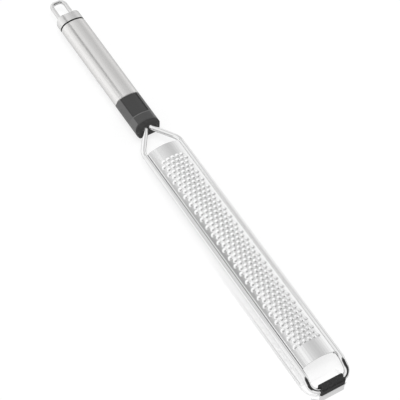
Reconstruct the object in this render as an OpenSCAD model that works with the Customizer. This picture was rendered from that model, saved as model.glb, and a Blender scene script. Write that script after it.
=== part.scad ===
// Fine grater for the kitchen: an oval steel handle with a hanging loop, a black
// collar that grips one bent steel rod, an arched toothed plate held between the
// rod's two sides, and a rubber foot on the rod's cross bar.
// +X runs towards the tip, +Y across, +Z up. The foot stands on z = 0.

/* [Handle] */
// Width of the handle tube
handle_w = 20.8; // [16:0.2:26]
// Height of the handle tube
handle_h = 14.3; // [11:0.1:18]
// Radius of the handle's rounded sides
side_r = 6.5; // [4:0.1:7]
// Wall of the handle tube
handle_wall = 1; // [0.6:0.1:2]
// Visible length of the handle tube
tube_len = 85; // [60:0.1:120]
// Length of the fine rims at both ends of the tube
rim_len = 0.4; // [0.1:0.05:1]
// How far the rims lie under the tube's surface
rim_depth = 0.2; // [0.05:0.05:0.5]
// Length of the steel cap in front of its seal ring
cap_len = 8.2; // [7:0.1:24]
// Rounding of the cap's outer end, seen from above
cap_round = 3; // [0.5:0.25:6]
// Rounding of the cap's outer end, seen from the side
cap_edge = 1.8; // [0.5:0.1:4]
// Depth of the solid end of the cap
cap_face = 7.6; // [6:0.1:12]
// Width of the black seal ring
seal_w = 1.3; // [0.5:0.1:3]
// How far the seal ring lies under the handle's surface
seal_depth = 0.25; // [0:0.05:1]
// Length of the spigots inside the tube
spigot_len = 11; // [5:0.5:20]
// Wall of the cap's spigot
spigot_wall = 2.4; // [1:0.1:4]
// Play between a spigot and what it enters
spigot_fit = 0.03; // [0:0.01:0.2]

/* [Hanging loop] */
// Thickness of the loop's wire
loop_wire = 3; // [2:0.1:4]
// Outer width of the loop
loop_w = 14; // [10:0.5:17]
// How far the loop stands out of the cap
loop_reach = 19.5; // [10:0.5:30]
// Bend radius of the loop's corners at the wire's centre
loop_bend = 4; // [2:0.25:5.5]
// How deep the loop's legs sit in the cap
loop_seat = 6.5; // [3:0.5:7]

/* [Collar] */
// Length of the collar outside the tube
collar_len = 32.8; // [26:0.2:50]
// Lean of the collar's end face, which slopes from its upper edge down to its tip
end_lean = 24.5; // [5:0.5:40]
// Length over which the collar draws in at both sides before its tip
end_stretch = 4.8; // [3:0.2:10]
// How far the collar draws in at each side
end_draw = 3.4; // [1:0.1:5]
// Height of the collar's underside at its tip above that of its barrel
chin_rise = 2.4; // [0.5:0.1:5]
// Length of the collar's rising underside
chin_len = 4; // [2:0.2:10]
// Length of the sunk thumb panel
panel_len = 19.8; // [8:0.2:24]
// Width of the thumb panel
panel_w = 13.8; // [6:0.2:18]
// Corner radius of the thumb panel
panel_corner = 2.5; // [0.5:0.25:6]
// Depth of the thumb panel under the collar's surface
panel_depth = 0.55; // [0.2:0.05:1.2]
// How far behind the collar's tip the rod starts to spread
neck_inset = 4.2; // [2:0.25:8]
// Length of the rod's shanks in the collar
shank_len = 21; // [10:0.5:26]

/* [Rod frame] */
// Diameter of the rod
rod_d = 4; // [3:0.1:6]
// Distance between the two shanks in the collar, centre to centre
shank_pitch = 4.6; // [4.2:0.1:6]
// Distance between the two long sides, centre to centre
frame_w = 30.4; // [24:0.2:44]
// Height of the rod's centre line above the table
rod_height = 10.5; // [8:0.1:16]
// Angle at which the rod spreads out of the collar
spread_angle = 35; // [20:1:50]
// Bend radius where the rod leaves the collar
neck_bend = 6; // [3:0.5:10]
// Bend radius at the shoulders
shoulder_bend = 12; // [5:0.5:20]
// Straight length of each long side
side_len = 211.3; // [150:0.1:260]
// Bend radius where the tip turns down
dip_bend = 8; // [4:0.5:20]
// Angle by which the tip turns down
dip_angle = 30; // [10:1:45]
// Bend radius of the tip's two corners
corner_bend = 7; // [4:0.25:12]

/* [Grater plate] */
// Length of the toothed plate
plate_len = 209; // [120:0.5:240]
// Thickness of the plate's sheet
plate_t = 0.6; // [0.3:0.05:1.2]
// Gap between the collar's tip and the plate
plate_gap = 19.5; // [8:0.1:30]
// Radius of the plate's arch
arch_r = 27; // [18:0.5:60]
// Height of the arch's top above the rod's centre
arch_rise = 5.3; // [3:0.1:8]
// Bend radius between the arch and its turned down lips
lip_bend = 1; // [0.7:0.05:2]
// How far the lips reach below the rod's centre
lip_drop = 1.2; // [0.5:0.1:2]
// How far the lips press into the rod where they are welded
weld_sink = 0.01; // [0:0.005:0.05]

/* [Teeth] */
// Number of tooth columns across the arch
columns = 11; // [3:1:15]
// Distance between teeth along a column
tooth_pitch = 7.64; // [6:0.02:10]
// Distance between columns, measured round the arch
column_pitch = 1.95; // [1.6:0.05:3]
// Plain margin between the last teeth and the plate's tip end
tip_margin = 15.2; // [6:0.1:30]
// Least plain margin between the first teeth and the plate's other end
root_margin = 13.5; // [4:0.1:30]
// Outer radius of one tooth's scoop
scoop_r = 1; // [0.8:0.05:1.4]
// Wall of the scoop
scoop_wall = 0.3; // [0.2:0.05:0.5]
// How far the scoop's centre lies under the sheet's surface
scoop_sink = 0.25; // [0.1:0.05:0.4]
// How much wider than the scoop's hollow its hole is, on the radius
hole_relief = 0.05; // [0.02:0.01:0.2]

/* [Foot] */
// Length of the foot across the grater
foot_l = 20.4; // [14:0.2:28]
// Width of the foot along the grater
foot_w = 6.4; // [5.5:0.1:12]
// Height of the foot
foot_h = 7.2; // [5.5:0.1:10]
// Rounding of the foot's long edges
foot_round = 1.3; // [0.3:0.1:2.5]
// Depth of the notch in each end of the foot
foot_notch = 1.8; // [0:0.1:3]

/* [View] */
// Which piece to draw

/* [Hidden] */
$fn = 48;
eps = 0.01;
// A bend swells this much over its straight neighbours, whose ends lap into it
bend_swell = 0.02;
lap = 0.3;
// The handle's section: two round sides, joined by a crowned top and underside
side_y = handle_w / 2 - side_r;
crown_r = (pow(side_y, 2) + pow(handle_h / 2, 2) - pow(side_r, 2)) / (handle_h - 2 * side_r);
spigot_inset = handle_wall + spigot_fit;
// Outlines that trim an end start this far outside the section, so that they cross it cleanly
trim = 0.15;
loop_leg_y = loop_w / 2 - loop_wire / 2;
// The handle's centre line is the rod's
axis_z = rod_height;
// Spread of the rod from the shanks to the long sides
spread_y = (frame_w - shank_pitch) / 2;
bends_y = (neck_bend + shoulder_bend) * (1 - cos(spread_angle));
spread_len = (spread_y - bends_y) / sin(spread_angle);
spread_x = (neck_bend + shoulder_bend) * sin(spread_angle) + spread_len * cos(spread_angle);
// Fall of the tip from the rod's centre line to the middle of the foot
dip_run = (axis_z - foot_h / 2 - dip_bend * (1 - cos(dip_angle))) / sin(dip_angle);
dip_straight = dip_run - corner_bend;
dip_x = dip_bend * sin(dip_angle) + dip_run * cos(dip_angle);
// The collar's end face runs from its upper edge down to its tip
tip_low = -handle_h / 2 + chin_rise;
end_edge = collar_len - (handle_h / 2 - tip_low) * tan(end_lean);
// Stations along the grater, measured from the loop's outer end
s_cap = loop_reach;
s_seal = s_cap + cap_len;
s_tube = s_seal + seal_w;
s_collar = s_tube + tube_len;
s_collar_end = s_collar + collar_len;
s_neck = s_collar_end - neck_inset;
s_side = s_neck + spread_x;
s_dip = s_side + side_len;
s_bar = s_dip + dip_x;
s_plate = s_collar_end + plate_gap;
overall_len = s_bar + foot_w / 2;
x_start = -overall_len / 2;
// Section of the plate
plate_w = frame_w - rod_d + 2 * weld_sink;
arch_z = axis_z + arch_rise - arch_r;
lip_y = plate_w / 2 - lip_bend;
lip_z = arch_z + sqrt(pow(arch_r - lip_bend, 2) - pow(lip_y, 2));
lip_low = axis_z - lip_drop;
// Tooth field
last_tooth = s_plate + plate_len - tip_margin;
teeth_per_column = 1 + floor((plate_len - tip_margin - root_margin - tooth_pitch / 2) / tooth_pitch);
column_angle = column_pitch / arch_r * 180 / PI;
// Each column of teeth stands on its own narrow flat, pressed into the arch by the punch
flat_r = arch_r * cos(column_angle / 2);

// Places its children at a station along the grater, on the handle's centre line
module at_station(s) {
    translate([x_start + s, 0, axis_z])
        children();
}

// Section of the handle, sunk by inset all round: x is its height and y its width
module oval(inset = 0) {
    for (i = [-1, 1])
        translate([0, i * side_y])
            circle(r = side_r - inset, $fn = 96);
    intersection() {
        translate([crown_r - handle_h / 2, 0])
            circle(r = crown_r - inset, $fn = 180);
        translate([handle_h / 2 - crown_r, 0])
            circle(r = crown_r - inset, $fn = 180);
        square([handle_h, 2 * side_y + 2 * (side_r - inset) * side_y / (crown_r - side_r)], center = true);
    }
}

// A straight bar with the handle's section between two stations
module oval_bar(from, to, inset = 0) {
    at_station(from)
        rotate([0, 90, 0])
            linear_extrude(height = to - from)
                oval(inset);
}

// Outline along +X from 0 to len whose far end draws in on both sides, by draw over its last stretch
module drawn_in(len, half, stretch, draw) {
    arc_r = (pow(stretch, 2) + pow(draw, 2)) / (2 * draw);
    difference() {
        translate([-1, -half])
            square([len + 1, 2 * half]);
        for (i = [-1, 1])
            difference() {
                translate([len - stretch, i > 0 ? half - draw : -half - 1])
                    square([stretch + 1, draw + 1]);
                translate([len - stretch, i * (half - arc_r)])
                    circle(r = arc_r, $fn = 96);
            }
    }
}

// A straight run of wire along +X, its ends lapping into its neighbours; what follows starts at its far end
module run(d, len) {
    translate([-lap, 0, 0])
        rotate([0, 90, 0])
            cylinder(d = d, h = len + 2 * lap);
    translate([len, 0, 0])
        children();
}

// A bend of wire to the left, or to the side that roll turns left to; what follows starts at its end
module bend(d, r, a, roll = 0) {
    rotate([roll, 0, 0])
        translate([0, r, 0])
            rotate([0, 0, -90])
                rotate_extrude(angle = a, $fn = 96)
                    translate([r, 0])
                        circle(d = d + 2 * bend_swell, $fn = 48);
    rotate([roll, 0, 0])
        translate([r * sin(a), r * (1 - cos(a)), 0])
            rotate([0, 0, a])
                rotate([-roll, 0, 0])
                    children();
}

// Draws its children and their mirror image across the middle plane
module both_sides() {
    children();
    mirror([0, 1, 0])
        children();
}

// A rectangle about the origin with true round corners
module round_rect(w, h, r) {
    square([w - 2 * r, h], center = true);
    square([w, h - 2 * r], center = true);
    for (i = [-1, 1], j = [-1, 1])
        translate([i * (w / 2 - r), j * (h / 2 - r)])
            circle(r = r);
}

// Bent wire loop that the grater hangs by: leg, corner, outer bar, corner, leg
module hanging_loop() {
    leg = loop_reach + loop_seat - loop_bend - loop_wire / 2 - lap;
    color("silver")
        at_station(s_cap + loop_seat - lap)
            translate([0, -loop_leg_y, 0])
                rotate([0, 0, 180])
                    run(loop_wire, leg)
                        bend(loop_wire, loop_bend, 90, 180)
                            run(loop_wire, 2 * (loop_leg_y - loop_bend))
                                bend(loop_wire, loop_bend, 90, 180)
                                    run(loop_wire, leg);
}

// Steel cap with its spigot; the loop's legs sit in two blind holes
module end_cap() {
    color("silver")
        difference() {
            union() {
                intersection() {
                    oval_bar(s_cap, s_seal);
                    at_station(s_seal)
                        mirror([1, 0, 0])
                            linear_extrude(height = handle_h + 2, center = true)
                                drawn_in(cap_len, handle_w / 2 + trim, cap_round, cap_round);
                    at_station(s_seal)
                        mirror([1, 0, 0])
                            rotate([90, 0, 0])
                                linear_extrude(height = handle_w + 2, center = true)
                                    drawn_in(cap_len, handle_h / 2 + trim, cap_edge, cap_edge);
                }
                oval_bar(s_seal - eps, s_tube + spigot_len, spigot_inset);
            }
            oval_bar(s_cap + cap_face, s_tube + spigot_len + 1, spigot_inset + spigot_wall);
            both_sides()
                at_station(s_cap - 1)
                    translate([0, loop_leg_y, 0])
                        rotate([0, 90, 0])
                            cylinder(d = loop_wire, h = loop_seat + 1);
        }
}

// Black ring pinched between the cap and the tube
module seal_ring() {
    color([0.06, 0.06, 0.06])
        difference() {
            oval_bar(s_seal, s_tube, seal_depth);
            oval_bar(s_seal - 1, s_tube + 1, spigot_inset);
        }
}

// Brushed steel tube, open at both ends, with a fine rim round each
module handle_tube() {
    color([0.75, 0.75, 0.74])
        difference() {
            union() {
                oval_bar(s_tube, s_collar, rim_depth);
                oval_bar(s_tube + rim_len, s_collar - rim_len);
            }
            oval_bar(s_tube - 1, s_collar + 1, handle_wall);
        }
}

// The collar from the side: its end face slopes down to the tip, and its underside rises to it
module collar_side() {
    polygon([
        [-spigot_len - 1, handle_h / 2 + 1],
        [end_edge - tan(end_lean), handle_h / 2 + 1],
        [collar_len, tip_low],
        [collar_len - chin_len, -handle_h / 2 - trim],
        [-spigot_len - 1, -handle_h / 2 - trim]
    ]);
}

// Outline of the thumb panel from above: it starts at the tube
module panel_outline() {
    translate([panel_len / 2 - panel_corner, 0])
        round_rect(panel_len + 2 * panel_corner, panel_w, panel_corner);
}

// Black collar: holds the rod's shanks, with a sunk thumb panel on top
module collar() {
    color([0.09, 0.09, 0.09])
        difference() {
            union() {
                intersection() {
                    oval_bar(s_collar, s_collar_end);
                    at_station(s_collar)
                        rotate([90, 0, 0])
                            linear_extrude(height = handle_w + 2, center = true)
                                collar_side();
                    at_station(s_collar)
                        linear_extrude(height = handle_h + 2, center = true)
                            drawn_in(collar_len, handle_w / 2 + trim, end_stretch, end_draw);
                }
                oval_bar(s_collar - spigot_len, s_collar + eps, spigot_inset);
            }
            oval_bar(s_collar - spigot_len - 1, s_collar + 2, spigot_inset + spigot_wall);
            difference() {
                at_station(s_collar)
                    linear_extrude(height = handle_h)
                        panel_outline();
                oval_bar(s_collar - 4 * panel_corner, s_collar_end, panel_depth);
            }
            both_sides()
                root_half();
        }
}

// The rod's shank and its spread out of the collar; what follows starts at the shoulder
module root_half() {
    at_station(s_neck - shank_len + lap)
        translate([0, shank_pitch / 2, 0])
            run(rod_d, shank_len - lap)
                bend(rod_d, neck_bend, spread_angle)
                    run(rod_d, spread_len)
                        children();
}

// One half of the rod, from the shank to the end of its corner
module rod_half() {
    root_half()
        bend(rod_d, shoulder_bend, spread_angle, 180)
            run(rod_d, side_len)
                bend(rod_d, dip_bend, dip_angle, -90)
                    run(rod_d, dip_straight)
                        tip_corner();
}

// The corner that turns the sloping tip into the cross bar
module tip_corner() {
    bend(rod_d, corner_bend, 90, 180);
}

// The straight cross bar between the two corners
module cross_bar() {
    at_station(s_bar)
        translate([0, corner_bend - frame_w / 2, foot_h / 2 - axis_z])
            rotate([0, 0, 90])
                run(rod_d, frame_w - 2 * corner_bend);
}

// One bent steel rod that carries the plate
module rod_frame() {
    color([0.8, 0.8, 0.8]) {
        both_sides()
            rod_half();
        cross_bar();
    }
}

// Filled section of the plate's arch and lips, drawn inward by inset, with the flats for the teeth
module arch_fill(inset, low) {
    intersection() {
        translate([0, arch_z])
            difference() {
                circle(r = arch_r - inset, $fn = 192);
                for (c = [0 : columns - 1])
                    rotate([0, 0, (c - (columns - 1) / 2) * column_angle])
                        translate([-column_pitch, flat_r - inset])
                            square([2 * column_pitch, 1]);
            }
        polygon([
            [-lip_y, lip_z],
            [-lip_y * 2, lip_z * 2 - arch_z],
            [lip_y * 2, lip_z * 2 - arch_z],
            [lip_y, lip_z]
        ]);
    }
    for (side = [-1, 1])
        translate([side * lip_y, lip_z])
            circle(r = lip_bend - inset);
    translate([inset - plate_w / 2, low])
        square([plate_w - 2 * inset, lip_z - low]);
}

// One tooth: a half scoop whose mouth faces the tip
module scoop() {
    rotate([0, 0, 90])
        rotate_extrude(angle = 180, $fn = 24)
            intersection() {
                difference() {
                    circle(r = scoop_r, $fn = 24);
                    circle(r = scoop_r - scoop_wall, $fn = 24);
                }
                square(scoop_r);
            }
}

// Places its children at every tooth, with +Z square to the arch
module at_teeth() {
    for (c = [0 : columns - 1])
        rotate([-(c - (columns - 1) / 2) * column_angle, 0, 0])
            for (i = [0 : teeth_per_column - 1])
                translate([-i * tooth_pitch - (c % 2) * tooth_pitch / 2, 0, flat_r - scoop_sink])
                    children();
}

// Arched steel plate with turned down lips and rows of scooped teeth
module grater_plate() {
    color([0.85, 0.85, 0.86])
        translate([x_start, 0, 0]) {
            difference() {
                translate([s_plate, 0, 0])
                    rotate([90, 0, 90])
                        linear_extrude(height = plate_len)
                            difference() {
                                arch_fill(0, lip_low);
                                arch_fill(plate_t, lip_low - 1);
                            }
                translate([last_tooth, 0, arch_z])
                    at_teeth()
                        translate([0, 0, -plate_t * 2])
                            cylinder(r = scoop_r - scoop_wall + hole_relief, h = plate_t * 4, $fn = 24);
            }
            translate([last_tooth, 0, arch_z])
                at_teeth()
                    scoop();
        }
}

// Rubber foot moulded round the cross bar, with a notch in each end where the rod enters
module foot() {
    color([0.07, 0.07, 0.07])
        difference() {
            at_station(s_bar)
                translate([0, 0, foot_h / 2 - axis_z])
                    intersection() {
                        rotate([90, 0, 0])
                            linear_extrude(height = foot_l, center = true)
                                round_rect(foot_w, foot_h, foot_round);
                        linear_extrude(height = foot_h + 1, center = true)
                            polygon([
                                [0, foot_notch - foot_l / 2],
                                [foot_w / 4, -foot_l / 2],
                                [foot_w / 2 + eps, foot_notch * 0.6 - foot_l / 2],
                                [foot_w / 2 + eps, foot_l / 2 - foot_notch * 0.6],
                                [foot_w / 4, foot_l / 2],
                                [0, foot_l / 2 - foot_notch],
                                [-foot_w / 4, foot_l / 2],
                                [-foot_w / 2 - eps, foot_l / 2 - foot_notch * 0.6],
                                [-foot_w / 2 - eps, foot_notch * 0.6 - foot_l / 2],
                                [-foot_w / 4, -foot_l / 2]
                            ]);
                    }
            both_sides()
                at_station(s_bar)
                    translate([0, frame_w / 2, foot_h / 2 - axis_z])
                        rotate([0, dip_angle, 0])
                            translate([-corner_bend, 0, 0])
                                tip_corner();
            cross_bar();
        }
}

hanging_loop();
end_cap();
seal_ring();
handle_tube();
collar();
rod_frame();
grater_plate();
foot();
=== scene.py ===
from math import cos, pi, radians, sin

import bpy
from mathutils import Matrix, Vector


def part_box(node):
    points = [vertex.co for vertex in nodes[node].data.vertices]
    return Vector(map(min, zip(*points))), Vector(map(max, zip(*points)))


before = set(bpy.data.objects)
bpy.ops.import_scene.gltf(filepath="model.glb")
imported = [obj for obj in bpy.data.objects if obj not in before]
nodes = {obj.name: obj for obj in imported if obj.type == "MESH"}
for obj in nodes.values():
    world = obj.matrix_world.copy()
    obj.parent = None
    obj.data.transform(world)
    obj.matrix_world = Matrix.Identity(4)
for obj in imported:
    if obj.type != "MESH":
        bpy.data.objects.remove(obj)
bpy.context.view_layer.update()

# Hanging loop: round steel wire, bent into a flat loop with two round corners
# and polished. Its two legs are let into the handle's end cap.
WIRE_SMEARS = (40, 160, 160)


class Field:
    """A socket of a finish. Sums, products and powers of it add Math nodes."""

    def __init__(self, tree, socket):
        self.tree = tree
        self.socket = socket

    def math(self, operation, *values, clamp=False):
        node = self.tree.nodes.new("ShaderNodeMath")
        node.operation = operation
        node.use_clamp = clamp
        for socket, value in zip(node.inputs, values):
            if isinstance(value, Field):
                self.tree.links.new(value.socket, socket)
            else:
                socket.default_value = value
        return Field(self.tree, node.outputs[0])

    def __add__(self, other):
        return self.math("ADD", self, other)

    def __radd__(self, other):
        return self.math("ADD", other, self)

    def __sub__(self, other):
        return self.math("SUBTRACT", self, other)

    def __rsub__(self, other):
        return self.math("SUBTRACT", other, self)

    def __mul__(self, other):
        return self.math("MULTIPLY", self, other)

    def __rmul__(self, other):
        return self.math("MULTIPLY", other, self)

    def __truediv__(self, other):
        return self.math("DIVIDE", self, other)

    def __rtruediv__(self, other):
        return self.math("DIVIDE", other, self)

    def __pow__(self, other):
        return self.math("POWER", self, other)

    def __rpow__(self, other):
        return self.math("POWER", other, self)

    def __abs__(self):
        return self.math("ABSOLUTE", self)

    def rise(self, low, high):
        """0 up to low, 1 from high on, and a straight slope between."""
        return self.math("MULTIPLY", self - low, 1.0 / (high - low), clamp=True)

    def fall(self, low, high):
        """1 up to low, 0 from high on, and a straight slope between."""
        return 1 - self.rise(low, high)


class Finish:
    """The nodes of one material, or of the studio, written as expressions."""

    def __init__(self, owner, place="Object"):
        owner.use_nodes = True
        self.owner = owner
        self.tree = owner.node_tree
        self.tree.nodes.clear()
        self.place = self.node("ShaderNodeTexCoord", {}, out=place)

    def node(self, kind, settings, out=0, **sockets):
        """Adds a node: its settings first, then the values or links of its sockets."""
        node = self.tree.nodes.new(kind)
        for name, value in settings.items():
            if name == "stops":
                ramp = node.color_ramp
                for index, (position, level) in enumerate(value):
                    stop = ramp.elements[index] if index < 2 else ramp.elements.new(position)
                    stop.position = position
                    stop.color = (level, level, level, 1.0)
            else:
                setattr(node, name, value)
        for name, value in sockets.items():
            key = int(name[1:]) if name[0] == "_" else name.replace("_", " ")
            if isinstance(value, Field):
                self.tree.links.new(value.socket, node.inputs[key])
            else:
                node.inputs[key].default_value = value
        return Field(self.tree, node.outputs[out]) if node.outputs else None

    def stretched(self, stretch):
        """The place on the object, scaled along each axis before a texture reads it."""
        return self.node("ShaderNodeVectorMath", {"operation": "MULTIPLY"}, _0=self.place, _1=stretch)

    def noise(self, stretch, detail=3.0, roughness=0.5):
        return self.node("ShaderNodeTexNoise", {}, out="Fac", Vector=self.stretched(stretch),
                         Scale=1.0, Detail=detail, Roughness=roughness)

    def axes(self):
        """The x, y and z of the place on the object, in metres."""
        return [self.node("ShaderNodeSeparateXYZ", {}, out=letter, Vector=self.place) for letter in "XYZ"]

    def blend(self, amount, first, second):
        """A colour between two colours."""
        return self.node("ShaderNodeMix", {"data_type": "RGBA"}, out=2, _0=amount, _6=first, _7=second)

    def bump(self, height, strength, distance):
        return self.node("ShaderNodeBump", {}, Height=height, Strength=strength, Distance=distance)

    def close(self, shader, output="ShaderNodeOutputMaterial"):
        """Joins the last shader to the output and returns what is finished."""
        self.node(output, {}, Surface=shader)
        return self.owner

    def surface(self, **sockets):
        return self.close(self.node("ShaderNodeBsdfPrincipled", {}, **sockets))


def new_finish(name):
    return Finish(bpy.data.materials.new(name))


def dress(name, material):
    """Gives a solid of the frame its finish."""
    solid = nodes[name]
    solid.data.materials.clear()
    solid.data.materials.append(material)


def grey(level, warm=0.0):
    """A grey of this level, a little warm or cool."""
    return (level * (1 + warm), level, level * (1 - warm), 1.0)


WIRE_LOW, WIRE_HIGH = grey(0.8084, 0.004), grey(0.86, 0.004)
polish = new_finish("polished_wire")
smears = polish.noise(WIRE_SMEARS, detail=4.0)
dress("hanging_loop", polish.surface(
    Base_Color=polish.blend(smears, WIRE_LOW, WIRE_HIGH),
    Metallic=1.0,
    Roughness=0.26 + smears * 0.08,
    Normal=polish.bump(smears, strength=0.05, distance=0.0002),
))

# End cap: steel, pressed to the handle's oval with a nearly flat end, and satin
# finished. Its spigot fills the tube; the loop's legs are fixed in two holes.
CAP_LOW, CAP_HIGH = grey(0.80, 0.006), grey(0.90, 0.006)
CAP_RINGS = (2200, 60, 60)
satin = new_finish("satin_cap")
rings = satin.noise(CAP_RINGS, detail=2.0)
dress("end_cap", satin.surface(
    Base_Color=satin.blend(rings, CAP_LOW, CAP_HIGH),
    Metallic=1.0,
    Roughness=0.14 + rings * 0.06,
    Normal=satin.bump(rings, strength=0.04, distance=0.0001),
))

# Seal ring: a thin black rubber ring pinched between the cap and the tube, a
# little under their surface, so that it reads as a dark line round the handle.
RING_DARK, RING_DUSTY = grey(0.006), grey(0.018)
RING_DUST = (900, 900, 900)
ring_rubber = new_finish("ring_rubber")
dust = ring_rubber.noise(RING_DUST)
dress("seal_ring", ring_rubber.surface(
    Base_Color=ring_rubber.blend(dust, RING_DARK, RING_DUSTY),
    Roughness=0.55 + dust * 0.2,
    Normal=ring_rubber.bump(dust, strength=0.2, distance=0.0001),
))

# Handle tube: drawn steel tube of oval section with a fine rim round each end,
# brushed along its length. The seal ring and the collar meet its ends.
TUBE_LOW, TUBE_HIGH = grey(0.83, 0.010), grey(0.93, 0.010)
TUBE_GRAIN = (12, 900, 900)
TUBE_CLOUDS = (30, 60, 60)
brushed = new_finish("brushed_tube")
fine = brushed.noise(TUBE_GRAIN, detail=2.0)
clouds = brushed.noise(TUBE_CLOUDS, detail=2.0)
dress("handle_tube", brushed.surface(
    Base_Color=brushed.blend(fine * 0.5 + clouds * 0.5, TUBE_LOW, TUBE_HIGH),
    Metallic=1.0,
    Roughness=0.13 + fine * 0.05 + clouds * 0.03,
    Normal=brushed.bump(fine, strength=0.03, distance=0.00005),
))

# Collar: moulded in black plastic with a fine spark grain, matt in the thumb
# panel, smoother round it. A spigot holds it in the tube; it grips the shanks.
# Its places are measured from the joint with the tube and from the axis.
JOINT_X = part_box("handle_tube")[1][0]
AXIS_Z = (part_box("handle_tube")[0][2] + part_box("handle_tube")[1][2]) / 2
PANEL_LENGTH, PANEL_HALF_WIDTH = 0.0198, 0.0069
PANEL_EDGE = 0.0002
TOP_EDGE = (0.003, 0.004)
END_SLANT = 0.456
END_EDGE = (0.0295, 0.0300)
HIGHLIGHT_LINE_WIDTH = 0.0003
COLLAR_GRAIN = (2200, 2200, 2200)
COLLAR_PATCHES = (120, 120, 120)
# Greys of the collar: the panel, the sides with a painted sheen, the end face, and a painted highlight
# line at the panel's step.
PANEL_BLACK, SIDE_SHEEN_GREY, END_BLACK, HIGHLIGHT_LINE_GREY = grey(0.036), grey(0.15), grey(0.050), grey(0.22)
SIDE_SHEEN_SHARE, PAST_PANEL_SHEEN_SHARE, PATCH_SHARE = 0.8, 0.2, 0.3
moulded = new_finish("moulded_collar")
grain = moulded.noise(COLLAR_GRAIN, detail=2.0)
patches = moulded.noise(COLLAR_PATCHES)
x, y, z = moulded.axes()
beyond = x - JOINT_X
above_axis = z - AXIS_Z
on_side = abs(y).rise(PANEL_HALF_WIDTH, PANEL_HALF_WIDTH + PANEL_EDGE)
on_top = above_axis.rise(*TOP_EDGE)
past_panel = beyond.rise(PANEL_LENGTH, PANEL_LENGTH + PANEL_EDGE)
on_end = (beyond + above_axis * END_SLANT).rise(*END_EDGE)
from_step = abs(beyond - PANEL_LENGTH - HIGHLIGHT_LINE_WIDTH / 2)
# Painted highlight: a thin lighter line along the top of the panel's end step.
painted_highlight_line = from_step.fall(HIGHLIGHT_LINE_WIDTH / 2, HIGHLIGHT_LINE_WIDTH) * on_top * (1 - on_side)
# Painted sheen: the sides, and the top past the panel, are painted lighter.
black = moulded.blend(on_side * SIDE_SHEEN_SHARE + past_panel * PAST_PANEL_SHEEN_SHARE, PANEL_BLACK, SIDE_SHEEN_GREY)
black = moulded.blend(on_end, black, END_BLACK)
black = moulded.blend(painted_highlight_line, black, HIGHLIGHT_LINE_GREY)
dress("collar", moulded.surface(
    Base_Color=moulded.blend(patches * PATCH_SHARE, black, END_BLACK),
    Roughness=0.42 + grain * 0.10 - on_side * 0.16,
    Normal=moulded.bump(grain, strength=0.15, distance=0.0001),
))

# Rod frame: one steel rod, bent cold and polished bright. It spreads out of the
# collar, runs down both sides of the plate, dips and closes in the cross bar.
ROD_LOW, ROD_HIGH = grey(0.94), grey(0.98)
ROD_DRAWN = (12, 220, 220)
rod = new_finish("polished_rod")
drawn = rod.noise(ROD_DRAWN, detail=4.0)
dress("rod_frame", rod.surface(
    Base_Color=rod.blend(drawn, ROD_LOW, ROD_HIGH),
    Metallic=1.0,
    Roughness=0.04 + drawn * 0.05,
    Normal=rod.bump(drawn, strength=0.03, distance=0.0002),
))

# Grater plate: steel sheet, punched with rows of small scoops that open towards
# the tip, arched, its long edges turned down and welded to the rod. The punch
# lifts the sheet a little round each tooth; that lifted sheet is painted brighter
# as a highlight, and the inside of each scoop is painted darker as shade.
PLATE_LOW, PLATE_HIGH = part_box("grater_plate")
ARCH_RADIUS = 0.027
ARCH_CENTRE_Z = -0.0112
COLUMNS = 11
COLUMN_PITCH = 0.00195
COLUMN_ANGLE = COLUMN_PITCH / ARCH_RADIUS
COLUMN_EDGE = 0.05
TEETH = 24
TOOTH_PITCH = 0.00764
ROW_EDGE = 0.01
TIP_MARGIN = 0.0152
LAST_TOOTH_X = PLATE_HIGH[0] - TIP_MARGIN
FLAT_RADIUS = ARCH_RADIUS * cos(COLUMN_ANGLE / 2)
RAISED_EDGE = (0.00004, 0.00012)
SCOOP_SINK = 0.00025
SCOOP_INSIDE, SCOOP_OUTSIDE = 0.0008, 0.0009
LIFT_REACH = 0.0019
LIFT_STRETCH = 1.6
LIFT_HEIGHT = 0.00048
LIFT_EDGE = (-0.0009, -0.0001)
FULL_HIGHLIGHT_LIFT = 0.2
SHEET_STREAKS = (14, 500, 500)
STREAK_HEIGHT = 0.000002
# Greys of the sheet: its streaks, a painted highlight on the lifted sheet, and a painted shade inside the
# scoops.
SHEET_LOW, SHEET_HIGH, LIFT_HIGHLIGHT_GREY, SCOOP_SHADE_GREY = grey(0.90), grey(0.97), grey(1.0), grey(0.72)
sheet = new_finish("punched_sheet")
streaks = sheet.noise(SHEET_STREAKS)
x, y, z = sheet.axes()
above = z - ARCH_CENTRE_Z
height = (y * y + above * above) ** 0.5 - FLAT_RADIUS
from_middle = y.math("ARCTAN2", y, above) / COLUMN_ANGLE


def teeth(stagger):
    """Every second column: where a place is inside a scoop, and how far the sheet is lifted."""
    column = (from_middle + stagger) / 2
    aside = (column - column.math("ROUND", column)) * (2 * COLUMN_PITCH)
    count = (LAST_TOOTH_X - x) / TOOTH_PITCH - (1 - stagger) / 2
    behind = (count - count.math("ROUND", count)) * TOOTH_PITCH
    in_rows = count.rise(-0.5, ROW_EDGE - 0.5) * count.fall(TEETH - 0.5 - ROW_EDGE, TEETH - 0.5)
    outermost = (COLUMNS - 1) / 2 + stagger
    in_columns = abs(from_middle).fall(outermost - COLUMN_EDGE, outermost)
    on_sheet = behind * behind + aside * aside
    above_sheet = height + SCOOP_SINK
    in_scoop = ((on_sheet + above_sheet * above_sheet) ** 0.5).fall(SCOOP_INSIDE, SCOOP_OUTSIDE)
    near = ((behind * behind / LIFT_STRETCH + aside * aside) ** 0.5).fall(0.0, LIFT_REACH)
    near = near * behind.rise(*LIFT_EDGE)
    field = in_rows * in_columns
    return in_scoop * field, near * field


even_inside, even_lift = teeth(1)
odd_inside, odd_lift = teeth(0)
inside = even_inside + odd_inside
lifted = even_lift + odd_lift
raised = height.rise(*RAISED_EDGE) * (1 - inside)
steel = sheet.blend(streaks, SHEET_LOW, SHEET_HIGH)
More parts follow.
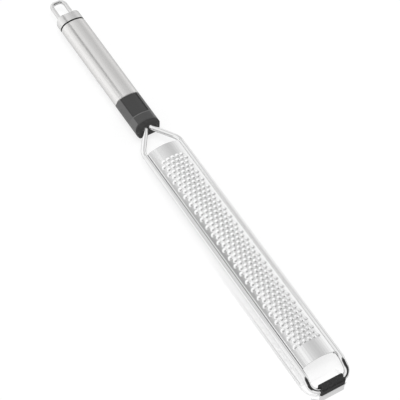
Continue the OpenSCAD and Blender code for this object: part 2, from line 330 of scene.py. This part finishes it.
# Painted highlight: the lifted sheet on each tooth's handle side is painted brighter.
steel = sheet.blend(lifted.rise(0.0, FULL_HIGHLIGHT_LIFT), steel, LIFT_HIGHLIGHT_GREY)
dress("grater_plate", sheet.surface(
    # Painted shade: the inside of each scoop is painted darker.
    Base_Color=sheet.blend(inside, steel, SCOOP_SHADE_GREY),
    Metallic=1.0,
    Roughness=0.12 + streaks * 0.06 + raised * 0.06,
    Normal=sheet.bump(lifted * LIFT_HEIGHT + streaks * STREAK_HEIGHT, strength=1.0, distance=1.0),
))

# Foot: black rubber, moulded round the cross bar so that it can't slip along
# it, with a notch in each end where the rod goes in.
FOOT_DARK, FOOT_SPECK = grey(0.010), grey(0.045)
FOOT_SPECKLE = (1500, 1500, 1500)
SPECK_EDGE = (0.45, 0.7)
foot_rubber = new_finish("foot_rubber")
speckle = foot_rubber.noise(FOOT_SPECKLE, detail=3.0, roughness=0.7)
dress("foot", foot_rubber.surface(
    Base_Color=foot_rubber.blend(speckle.rise(*SPECK_EDGE), FOOT_DARK, FOOT_SPECK),
    Roughness=0.50 + speckle * 0.2,
    Normal=foot_rubber.bump(speckle, strength=0.4, distance=0.0002),
))

# The floor is a white board. The steel mirrors it with its true shadows and a
# painted shade over its far side; the camera sees them faintly under a glow,
# which is weaker under the plate as a painted shadow, and sees a polished patch
# round the foot and beside the near rod.
REACH = 4.0
FLOOR_DROP = 0.0002
CORNERS = ((-1, -1), (1, -1), (1, 1), (-1, 1))
BOARD_NEAR, BOARD_FAR_SHADED, BOARD_LIFT = 0.85, 0.60, 0.05
FAR_SHADE_EDGE = (-0.04, 0.0)
FAINT_WHITE, FULL_GLOW, SHADE_GLOW = 0.25, 0.775, 0.35
SHADE_START = (PLATE_LOW[0] - 0.004, PLATE_LOW[0] + 0.010)
SHADE_END = (PLATE_HIGH[0] - 0.022, PLATE_HIGH[0] - 0.010)
SHADE_NEAR_SIDE, SHADE_FAR_SIDE = (-0.013, -0.007), (0.015, 0.021)
POLISH, POLISHED_GLOW, POLISHED_ROUGHNESS = 0.65, 0.55, 0.03
FOOT_START, FOOT_FAR_SIDE = (0.183, 0.190), (0.025, 0.045)
ROD_START, ROD_SIDE = (0.06, 0.15), (-0.017, -0.012)
POLISH_END, POLISH_NEAR_SIDE = (0.215, 0.235), (-0.045, -0.030)
board_mesh = bpy.data.meshes.new("floor_board")
corners = [(across * REACH, along * REACH, -FLOOR_DROP) for across, along in CORNERS]
board_mesh.from_pydata(corners, [], [(0, 1, 2, 3)])
board = bpy.data.objects.new("floor_board", board_mesh)
bpy.context.scene.collection.objects.link(board)
gloss_board = new_finish("gloss_board")
x, y, z = gloss_board.axes()


def mixed(share, first, second):
    """Two faces of the board, the second by this share."""
    return gloss_board.node("ShaderNodeMixShader", {}, _0=share, _1=first, _2=second)


def matt(white):
    """A matt face of the board."""
    return gloss_board.node("ShaderNodeBsdfDiffuse", {}, Color=grey(white))


def glowing(face, strength):
    """A face of the board with some light of its own."""
    glow = gloss_board.node("ShaderNodeEmission", {}, Color=grey(1.0), Strength=strength)
    return gloss_board.node("ShaderNodeAddShader", {}, _0=face, _1=glow)


# Painted shadow: the glow is weaker under the plate.
painted_shadow_under_plate = x.rise(*SHADE_START) * x.fall(*SHADE_END)
painted_shadow_under_plate = painted_shadow_under_plate * y.rise(*SHADE_NEAR_SIDE) * y.fall(*SHADE_FAR_SIDE)
past_foot = x.rise(*FOOT_START) * y.fall(*FOOT_FAR_SIDE)
beside_rod = x.rise(*ROD_START) * y.fall(*ROD_SIDE)
polished = 1 - (1 - past_foot) * (1 - beside_rod)
polished = polished * x.fall(*POLISH_END) * y.rise(*POLISH_NEAR_SIDE)
mirror = gloss_board.node("ShaderNodeBsdfGlossy", {}, Color=grey(1.0), Roughness=POLISHED_ROUGHNESS)
faint = matt(FAINT_WHITE)
polished_face = glowing(mixed(POLISH, faint, mirror), POLISHED_GLOW)
shown = mixed(polished, glowing(faint, FULL_GLOW), polished_face)
shown = mixed(painted_shadow_under_plate, shown, glowing(faint, SHADE_GLOW))
# Painted shade: the board that the steel mirrors is darker over its far side.
near_board, far_shaded_board = glowing(matt(BOARD_NEAR), BOARD_LIFT), glowing(matt(BOARD_FAR_SHADED), BOARD_LIFT)
mirrored = mixed(y.rise(*FAR_SHADE_EDGE), near_board, far_shaded_board)
seen = gloss_board.node("ShaderNodeLightPath", {}, out="Is Camera Ray")
board_mesh.materials.append(gloss_board.close(mixed(seen, mirrored, shown)))

# The studio is a tent of white and grey cloth. Its panels are given by their
# height over the far side in degrees, and differ at the handle and the plate.
# Places along it are a direction's x, from -1 past the loop to 1 past the tip.
HANDLE_PANELS = (
    (0, 0.66), (30, 0.76), (46, 0.52), (66, 0.63), (83, 0.79), (104, 0.72), (125, 0.88), (151, 1.0),
)
PLATE_PANELS = (
    (18, 1.0), (36, 0.70), (60, 0.57), (88, 0.73), (103, 1.0), (113, 1.0), (124, 0.62), (134, 0.94),
)
HALF_TURN = 180
PLATE_EDGE = (-0.545, -0.515)
TEETH_START, TEETH_END = (-0.495, -0.475), (-0.42, -0.395)
WHITE_CLOTH, STRIP_BLACK, TIP_BLACK = grey(1.0), grey(0.05), grey(0.04)
LIT_BELOW, LIT_BELOW_SHARE = (34, 50), 0.8
LIT_ABOVE, LIT_ABOVE_SHARE = (84, 98), 0.6
SEAM_HEIGHT, SEAM_EDGE, SEAM_SHARE = 96.8, (2.4, 4.4), 0.95
SEAM_START, SEAM_END = (-0.62, -0.61), (-0.545, -0.53)
STRIP_BOTTOM, STRIP_TOP, STRIP_SHARE = (104, 110), (125, 130), 0.88
WHITE_END = (-0.66, -0.62)
BLACK_START, BLACK_END = (0.22, 0.42), (0.80, 0.88)
tent = Finish(bpy.data.worlds.new("studio_tent"), "Generated")
bpy.context.scene.world = tent.owner
to_x, to_y, to_z = tent.axes()
degrees_up = to_z.math("ARCTAN2", to_z, to_y) * (HALF_TURN / pi)


def row_of_panels(panels):
    """The greys of a row of panels, from the far side over the top to the near side."""
    stops = [(degrees / HALF_TURN, level) for degrees, level in panels]
    return tent.node("ShaderNodeValToRGB", {"stops": stops}, Fac=degrees_up / HALF_TURN)


seam = abs(degrees_up - SEAM_HEIGHT).fall(*SEAM_EDGE) * to_x.fall(*SEAM_END) * to_x.rise(*SEAM_START)
at_teeth = to_x.rise(*TEETH_START) * to_x.fall(*TEETH_END)
strip = degrees_up.rise(*STRIP_BOTTOM) * degrees_up.fall(*STRIP_TOP) * at_teeth
lit_below = degrees_up.fall(*LIT_BELOW) * LIT_BELOW_SHARE
lit_above = degrees_up.rise(*LIT_ABOVE) * LIT_ABOVE_SHARE
cloth = tent.blend(to_x.rise(*PLATE_EDGE), row_of_panels(HANDLE_PANELS), row_of_panels(PLATE_PANELS))
cloth = tent.blend((lit_below + lit_above) * at_teeth, cloth, WHITE_CLOTH)
cloth = tent.blend(seam * SEAM_SHARE, cloth, STRIP_BLACK)
cloth = tent.blend(strip * STRIP_SHARE, cloth, STRIP_BLACK)
cloth = tent.blend(to_x.fall(*WHITE_END), cloth, WHITE_CLOTH)
cloth = tent.blend(to_x.rise(*BLACK_START) * to_x.fall(*BLACK_END), cloth, TIP_BLACK)
studio = tent.node("ShaderNodeBackground", {}, Color=cloth, Strength=1.0)
backdrop = tent.node("ShaderNodeBackground", {}, Color=WHITE_CLOTH, Strength=1.0)
seen = tent.node("ShaderNodeLightPath", {}, out="Is Camera Ray")
shown = tent.node("ShaderNodeMixShader", {}, _0=seen, _1=studio, _2=backdrop)
tent.close(shown, "ShaderNodeOutputWorld")


def soft_box(name, place, aim, size, watts):
    """A square lamp behind cloth, which steel doesn't mirror."""
    light = bpy.data.lights.new(name, "AREA")
    light.size = size
    light.energy = watts
    lamp = bpy.data.objects.new(name, light)
    lamp.location = place
    lamp.rotation_euler = (Vector(aim) - Vector(place)).to_track_quat("-Z", "Y").to_euler()
    lamp.visible_glossy = False
    bpy.context.scene.collection.objects.link(lamp)


soft_box("key_box", place=(0.3, -0.25, 1.9), aim=(0.0, 0.0, 0.0), size=1.1, watts=16.0)

# The camera looks down at the grater from its near side, beyond the tip, with a
# long lens, tilted a little.
AZIMUTH, ELEVATION, ROLL = radians(56.1), radians(54.75), radians(3.29)
AIM = Vector((0.01685, 0.0, 0.0005))
DISTANCE = 1.273
SENSOR_WIDTH = 36.0
FOCAL_IN_FRAMES = 4.3475
SHIFT_X, SHIFT_Y = 0.009, 0.0065
CLIP_END = 20.0
back = Vector((sin(AZIMUTH) * cos(ELEVATION), -cos(AZIMUTH) * cos(ELEVATION), sin(ELEVATION)))
level_right = Vector((cos(AZIMUTH), sin(AZIMUTH), 0.0))
level_up = back.cross(level_right)
right = level_right * cos(ROLL) + level_up * sin(ROLL)
up = level_up * cos(ROLL) - level_right * sin(ROLL)
place = AIM + back * DISTANCE
camera = bpy.data.objects.new("camera", bpy.data.cameras.new("camera"))
camera.matrix_world = Matrix((
    (right.x, up.x, back.x, place.x),
    (right.y, up.y, back.y, place.y),
    (right.z, up.z, back.z, place.z),
    (0, 0, 0, 1),
))
camera.data.sensor_width = SENSOR_WIDTH
camera.data.lens = FOCAL_IN_FRAMES * SENSOR_WIDTH
camera.data.shift_x = SHIFT_X
camera.data.shift_y = SHIFT_Y
camera.data.clip_end = CLIP_END
bpy.context.scene.collection.objects.link(camera)
bpy.context.scene.camera = camera
bpy.context.scene.view_settings.view_transform = "Standard"
